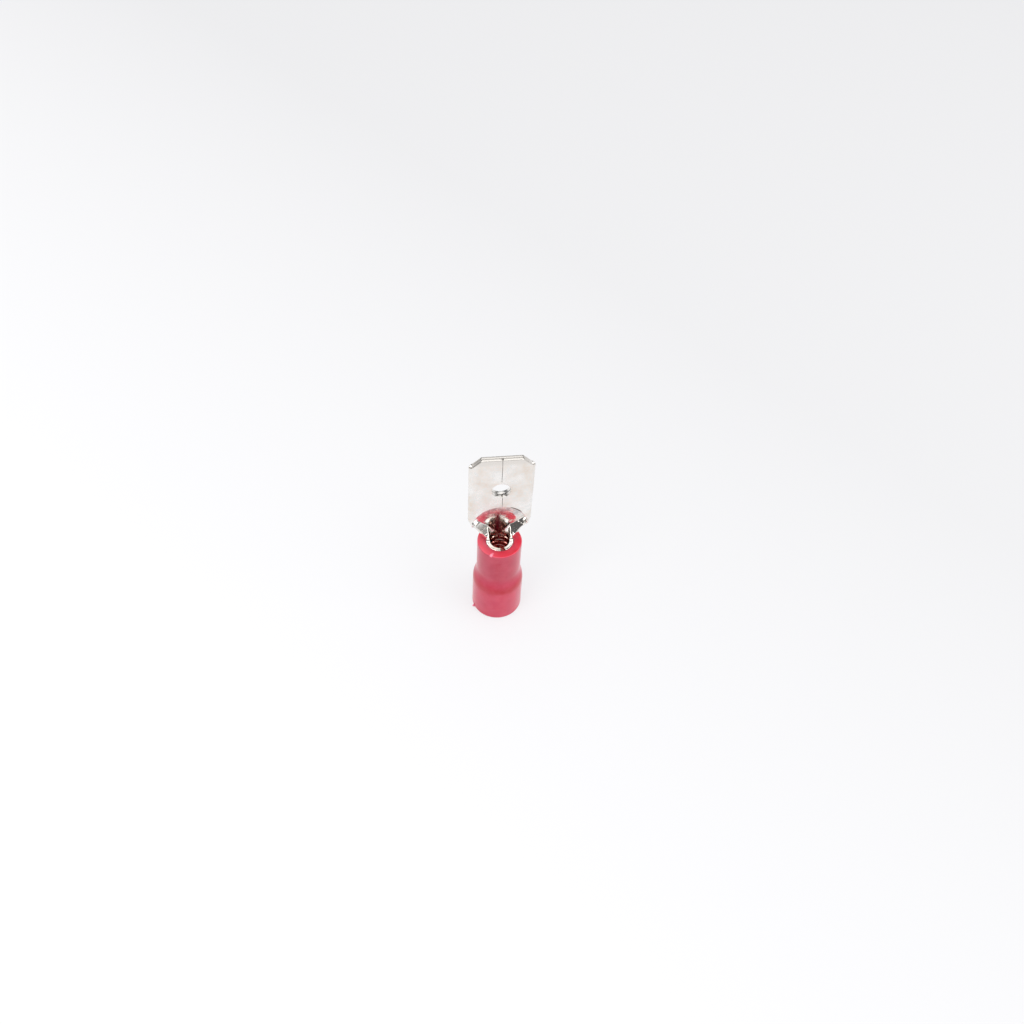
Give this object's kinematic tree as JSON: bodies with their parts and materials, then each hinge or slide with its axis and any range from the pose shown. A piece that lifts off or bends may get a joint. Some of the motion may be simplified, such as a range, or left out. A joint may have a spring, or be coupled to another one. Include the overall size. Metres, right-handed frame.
{
  "type": "male spade terminal",
  "caption": "Crimp-on male spade terminal: a folded, tin-plated flat tab with a detent hole, on a rolled wire barrel held in a red insulating sleeve.",
  "frame": {"origin": "centre of the sleeve's open lower end, on the axis of the wire barrel", "axes": "+Z along the barrel's axis towards the tip of the tab, X across the tab's width, and the tab's folded seam facing -Y"},
  "size_m": [0.0064, 0.0054, 0.0215],
  "materials": {
    "tin_plated_brass": "bright tin plate over brass strip",
    "red_pvc": "moulded soft PVC, satin and slightly see-through"
  },
  "bodies": {
    "root": {"blade_terminal": "tin_plated_brass", "insulating_sleeve": "red_pvc"}
  },
  "joints": []
}
